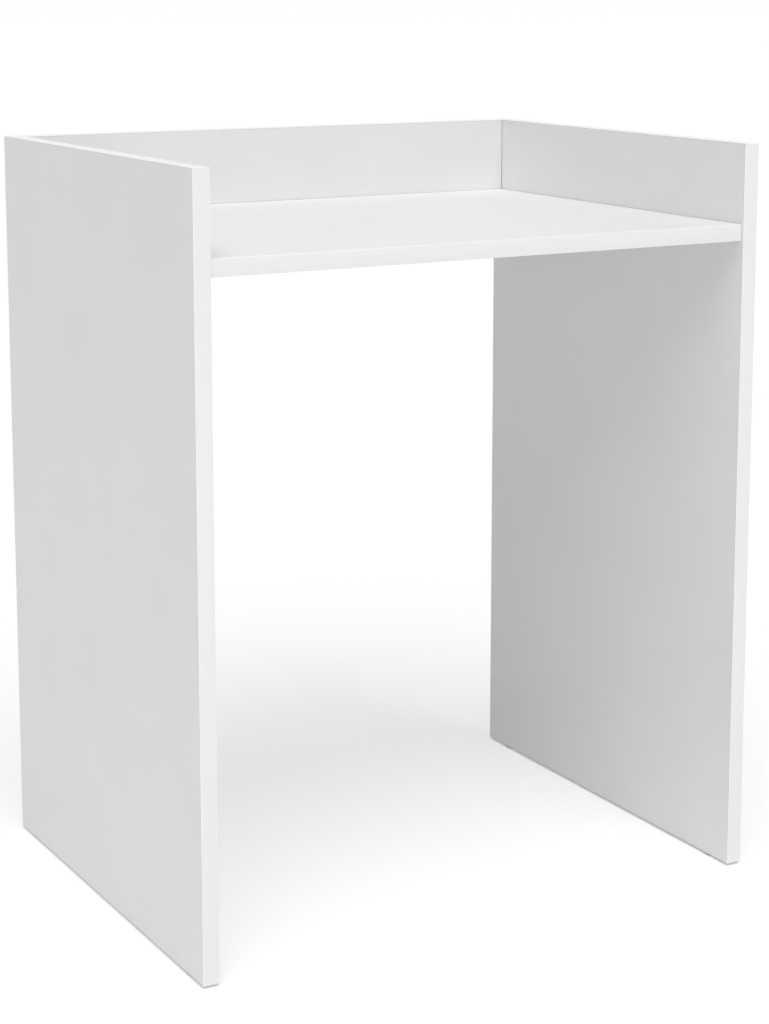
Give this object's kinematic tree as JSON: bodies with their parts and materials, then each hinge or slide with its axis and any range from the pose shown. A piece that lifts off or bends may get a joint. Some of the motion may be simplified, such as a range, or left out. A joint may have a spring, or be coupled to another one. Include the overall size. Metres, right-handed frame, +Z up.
{
  "type": "washing machine cabinet",
  "caption": "Open white board cabinet that stands over a front-loading washer: side panels, a shelf above the bay, and a back board that stands up behind the shelf, joined by hidden cam fittings.",
  "frame": {"origin": "on the floor, in the middle of the cabinet's footprint", "axes": "+Z up, +X to the right seen from the front, +Y to the back, so the open front faces -Y"},
  "size_m": [0.82, 0.62, 1],
  "materials": {
    "melamine_board": "white melamine faced chipboard, fine satin texture",
    "edge_band": "white ABS edge band, satin, arris scraped to a small radius",
    "cam_zinc": "die cast zinc, as cast and tumbled",
    "bolt_steel": "zinc plated steel",
    "beech": "turned beech, raw",
    "glide_plastic": "moulded polyethylene, pale grey",
    "nail_steel": "bright steel wire"
  },
  "bodies": {
    "cabinet": {"left_side_panel": "melamine_board", "right_side_panel": "melamine_board", "top_shelf": "melamine_board", "back_board": "melamine_board", "left_side_front_band": "edge_band", "left_side_back_band": "edge_band", "left_side_top_band": "edge_band", "left_side_bottom_band": "edge_band", "right_side_front_band": "edge_band", "right_side_back_band": "edge_band", "right_side_top_band": "edge_band", "right_side_bottom_band": "edge_band", "shelf_front_band": "edge_band", "back_board_top_band": "edge_band", "back_board_bottom_band": "edge_band", "shelf_bolt_left_front": "bolt_steel", "shelf_bolt_left_rear": "bolt_steel", "shelf_bolt_right_front": "bolt_steel", "shelf_bolt_right_rear": "bolt_steel", "shelf_bolt_back_left": "bolt_steel", "shelf_bolt_back_right": "bolt_steel", "back_board_bolt_left_upper": "bolt_steel", "back_board_bolt_left_lower": "bolt_steel", "back_board_bolt_right_upper": "bolt_steel", "back_board_bolt_right_lower": "bolt_steel", "shelf_dowel_left_front": "beech", "shelf_dowel_left_rear": "beech", "shelf_dowel_right_front": "beech", "shelf_dowel_right_rear": "beech", "shelf_dowel_back_left": "beech", "shelf_dowel_back_right": "beech", "back_board_dowel_left_upper": "beech", "back_board_dowel_left_lower": "beech", "back_board_dowel_right_upper": "beech", "back_board_dowel_right_lower": "beech", "glide_left_front": "glide_plastic", "glide_left_rear": "glide_plastic", "glide_right_front": "glide_plastic", "glide_right_rear": "glide_plastic", "glide_nail_left_front": "nail_steel", "glide_nail_left_rear": "nail_steel", "glide_nail_right_front": "nail_steel", "glide_nail_right_rear": "nail_steel"},
    "shelf_cam_left_front": {"shelf_cam_left_front": "cam_zinc"},
    "shelf_cam_left_rear": {"shelf_cam_left_rear": "cam_zinc"},
    "shelf_cam_right_front": {"shelf_cam_right_front": "cam_zinc"},
    "shelf_cam_right_rear": {"shelf_cam_right_rear": "cam_zinc"},
    "shelf_cam_back_left": {"shelf_cam_back_left": "cam_zinc"},
    "shelf_cam_back_right": {"shelf_cam_back_right": "cam_zinc"},
    "back_board_cam_left_upper": {"back_board_cam_left_upper": "cam_zinc"},
    "back_board_cam_left_lower": {"back_board_cam_left_lower": "cam_zinc"},
    "back_board_cam_right_upper": {"back_board_cam_right_upper": "cam_zinc"},
    "back_board_cam_right_lower": {"back_board_cam_right_lower": "cam_zinc"}
  },
  "joints": [
    {"name": "shelf_cam_left_front_turn", "type": "hinge", "parent": "cabinet", "child": "shelf_cam_left_front", "pos_m": [-0.354, -0.2356, 0.8713], "axis": [0, 0, -1], "range_deg": [0, 180]},
    {"name": "shelf_cam_left_rear_turn", "type": "hinge", "parent": "cabinet", "child": "shelf_cam_left_rear", "pos_m": [-0.354, 0.186, 0.8713], "axis": [0, 0, -1], "range_deg": [0, 180]},
    {"name": "shelf_cam_right_front_turn", "type": "hinge", "parent": "cabinet", "child": "shelf_cam_right_front", "pos_m": [0.354, -0.2356, 0.8713], "axis": [0, 0, -1], "range_deg": [0, 180]},
    {"name": "shelf_cam_right_rear_turn", "type": "hinge", "parent": "cabinet", "child": "shelf_cam_right_rear", "pos_m": [0.354, 0.186, 0.8713], "axis": [0, 0, -1], "range_deg": [0, 180]},
    {"name": "shelf_cam_back_left_turn", "type": "hinge", "parent": "cabinet", "child": "shelf_cam_back_left", "pos_m": [-0.22504, 0.254, 0.8713], "axis": [0, 0, -1], "range_deg": [0, 180]},
    {"name": "shelf_cam_back_right_turn", "type": "hinge", "parent": "cabinet", "child": "shelf_cam_back_right", "pos_m": [0.22504, 0.254, 0.8713], "axis": [0, 0, -1], "range_deg": [0, 180]},
    {"name": "back_board_cam_left_upper_turn", "type": "hinge", "parent": "cabinet", "child": "back_board_cam_left_upper", "pos_m": [-0.354, 0.3097, 0.94148], "axis": [0, 1, 0], "range_deg": [0, 180]},
    {"name": "back_board_cam_left_lower_turn", "type": "hinge", "parent": "cabinet", "child": "back_board_cam_left_lower", "pos_m": [-0.354, 0.3097, 0.84952], "axis": [0, 1, 0], "range_deg": [0, 180]},
    {"name": "back_board_cam_right_upper_turn", "type": "hinge", "parent": "cabinet", "child": "back_board_cam_right_upper", "pos_m": [0.354, 0.3097, 0.94148], "axis": [0, 1, 0], "range_deg": [0, 180]},
    {"name": "back_board_cam_right_lower_turn", "type": "hinge", "parent": "cabinet", "child": "back_board_cam_right_lower", "pos_m": [0.354, 0.3097, 0.84952], "axis": [0, 1, 0], "range_deg": [0, 180]}
  ]
}
